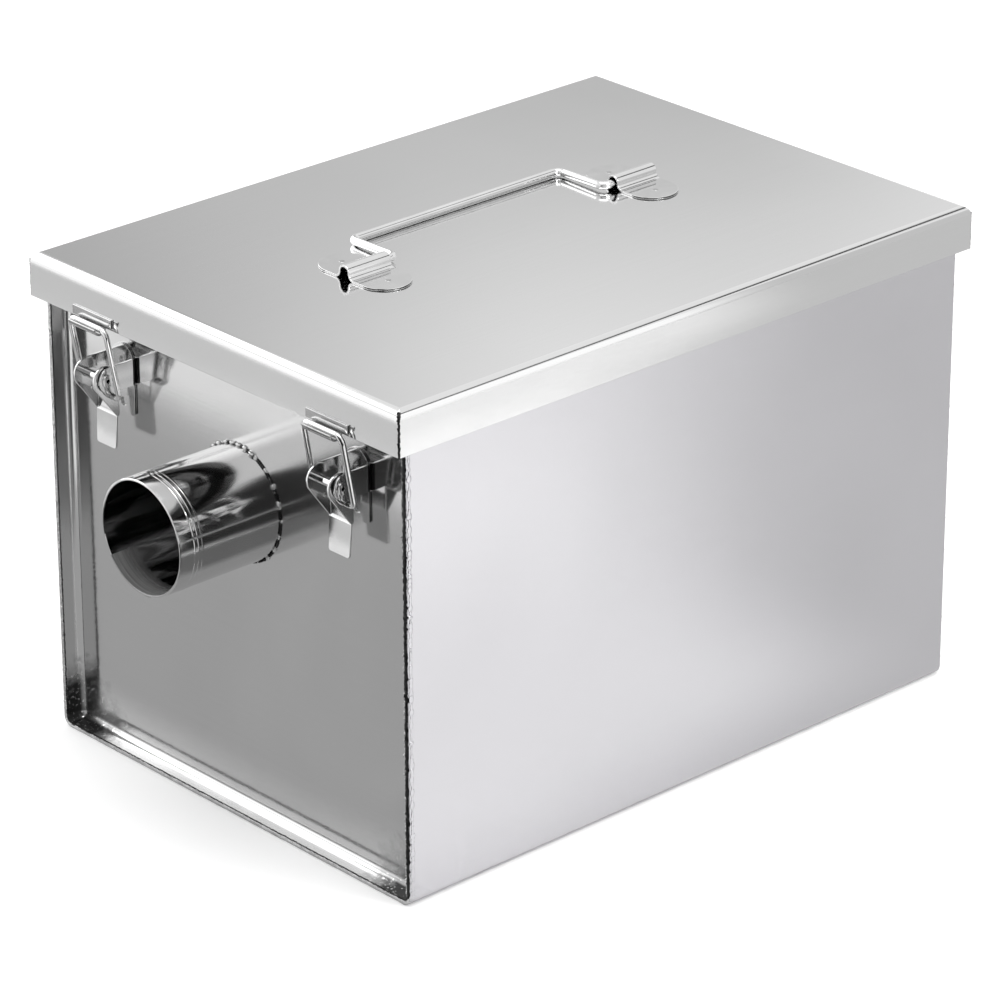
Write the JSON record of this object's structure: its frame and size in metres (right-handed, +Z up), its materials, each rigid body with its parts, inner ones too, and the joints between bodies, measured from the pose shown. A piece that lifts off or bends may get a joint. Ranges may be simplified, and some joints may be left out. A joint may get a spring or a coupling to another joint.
{
  "type": "grease trap",
  "caption": "Sheet-steel kitchen grease trap: box tank with recessed ends, inlet and outlet pipes, a latched tray lid with fold-down handle, strainer basket, baffle and downpipe.",
  "frame": {"origin": "middle of the tank's underside, on the floor", "axes": "+Z up, +Y from the inlet end to the outlet end, +X to the right seen from the inlet end"},
  "size_m": [0.2566, 0.444, 0.2522],
  "materials": {
    "sheet_steel": "satin, finely brushed stainless sheet",
    "pipe_steel": "bright drawn stainless tube",
    "bright_steel": "bright stainless pressings and wire",
    "gasket_rubber": "matt black rubber"
  },
  "bodies": {
    "trap": {"tank_body": "sheet_steel", "inlet_end_panel": "sheet_steel", "outlet_end_panel": "sheet_steel", "lid": "sheet_steel", "basket_rail_left": "sheet_steel", "basket_rail_right": "sheet_steel", "basket_trough": "sheet_steel", "basket_end_left": "sheet_steel", "basket_end_right": "sheet_steel", "baffle_plate": "sheet_steel", "inlet_pipe": "pipe_steel", "outlet_pipe": "pipe_steel", "outlet_elbow": "pipe_steel", "outlet_downpipe": "pipe_steel", "handle_clip_front": "bright_steel", "handle_clip_rear": "bright_steel", "basket_handle": "bright_steel", "catch_inlet_left": "bright_steel", "catch_inlet_right": "bright_steel", "catch_outlet_left": "bright_steel", "catch_outlet_right": "bright_steel", "base_inlet_left": "bright_steel", "base_inlet_right": "bright_steel", "base_outlet_left": "bright_steel", "base_outlet_right": "bright_steel", "pin_inlet_left": "bright_steel", "pin_inlet_right": "bright_steel", "pin_outlet_left": "bright_steel", "pin_outlet_right": "bright_steel", "lid_gasket": "gasket_rubber"},
    "handle": {"lid_handle": "bright_steel"},
    "lever_inlet_left": {"lever_inlet_left": "bright_steel"},
    "bail_inlet_left": {"bail_inlet_left": "bright_steel"},
    "lever_inlet_right": {"lever_inlet_right": "bright_steel"},
    "bail_inlet_right": {"bail_inlet_right": "bright_steel"},
    "lever_outlet_left": {"lever_outlet_left": "bright_steel"},
    "bail_outlet_left": {"bail_outlet_left": "bright_steel"},
    "lever_outlet_right": {"lever_outlet_right": "bright_steel"},
    "bail_outlet_right": {"bail_outlet_right": "bright_steel"}
  },
  "joints": [
    {"name": "handle_fold", "type": "hinge", "parent": "trap", "child": "handle", "pos_m": [-0.0028, 0, 0.248], "axis": [0, 1, 0], "range_deg": [0, 180]},
    {"name": "lever_turn_inlet_left", "type": "hinge", "parent": "trap", "child": "lever_inlet_left", "pos_m": [-0.0818, -0.181, 0.1973], "axis": [-1, 0, 0], "range_deg": [0, 100]},
    {"name": "bail_turn_inlet_left", "type": "hinge", "parent": "lever_inlet_left", "child": "bail_inlet_left", "pos_m": [-0.0818, -0.1775, 0.1884], "axis": [-1, 0, 0], "range_deg": [-78, 0]},
    {"name": "lever_turn_inlet_right", "type": "hinge", "parent": "trap", "child": "lever_inlet_right", "pos_m": [0.0818, -0.181, 0.1973], "axis": [-1, 0, 0], "range_deg": [0, 100]},
    {"name": "bail_turn_inlet_right", "type": "hinge", "parent": "lever_inlet_right", "child": "bail_inlet_right", "pos_m": [0.0818, -0.1775, 0.1884], "axis": [-1, 0, 0], "range_deg": [-78, 0]},
    {"name": "lever_turn_outlet_left", "type": "hinge", "parent": "trap", "child": "lever_outlet_left", "pos_m": [-0.0818, 0.181, 0.1973], "axis": [1, 0, 0], "range_deg": [0, 100]},
    {"name": "bail_turn_outlet_left", "type": "hinge", "parent": "lever_outlet_left", "child": "bail_outlet_left", "pos_m": [-0.0818, 0.1775, 0.1884], "axis": [1, 0, 0], "range_deg": [-78, 0]},
    {"name": "lever_turn_outlet_right", "type": "hinge", "parent": "trap", "child": "lever_outlet_right", "pos_m": [0.0818, 0.181, 0.1973], "axis": [1, 0, 0], "range_deg": [0, 100]},
    {"name": "bail_turn_outlet_right", "type": "hinge", "parent": "lever_outlet_right", "child": "bail_outlet_right", "pos_m": [0.0818, 0.1775, 0.1884], "axis": [1, 0, 0], "range_deg": [-78, 0]}
  ],
  "couplings": [
    {"joint": "bail_turn_inlet_left", "follows": "lever_turn_inlet_left", "ratio": -0.775},
    {"joint": "bail_turn_inlet_right", "follows": "lever_turn_inlet_right", "ratio": -0.775},
    {"joint": "bail_turn_outlet_left", "follows": "lever_turn_outlet_left", "ratio": -0.775},
    {"joint": "bail_turn_outlet_right", "follows": "lever_turn_outlet_right", "ratio": -0.775}
  ]
}
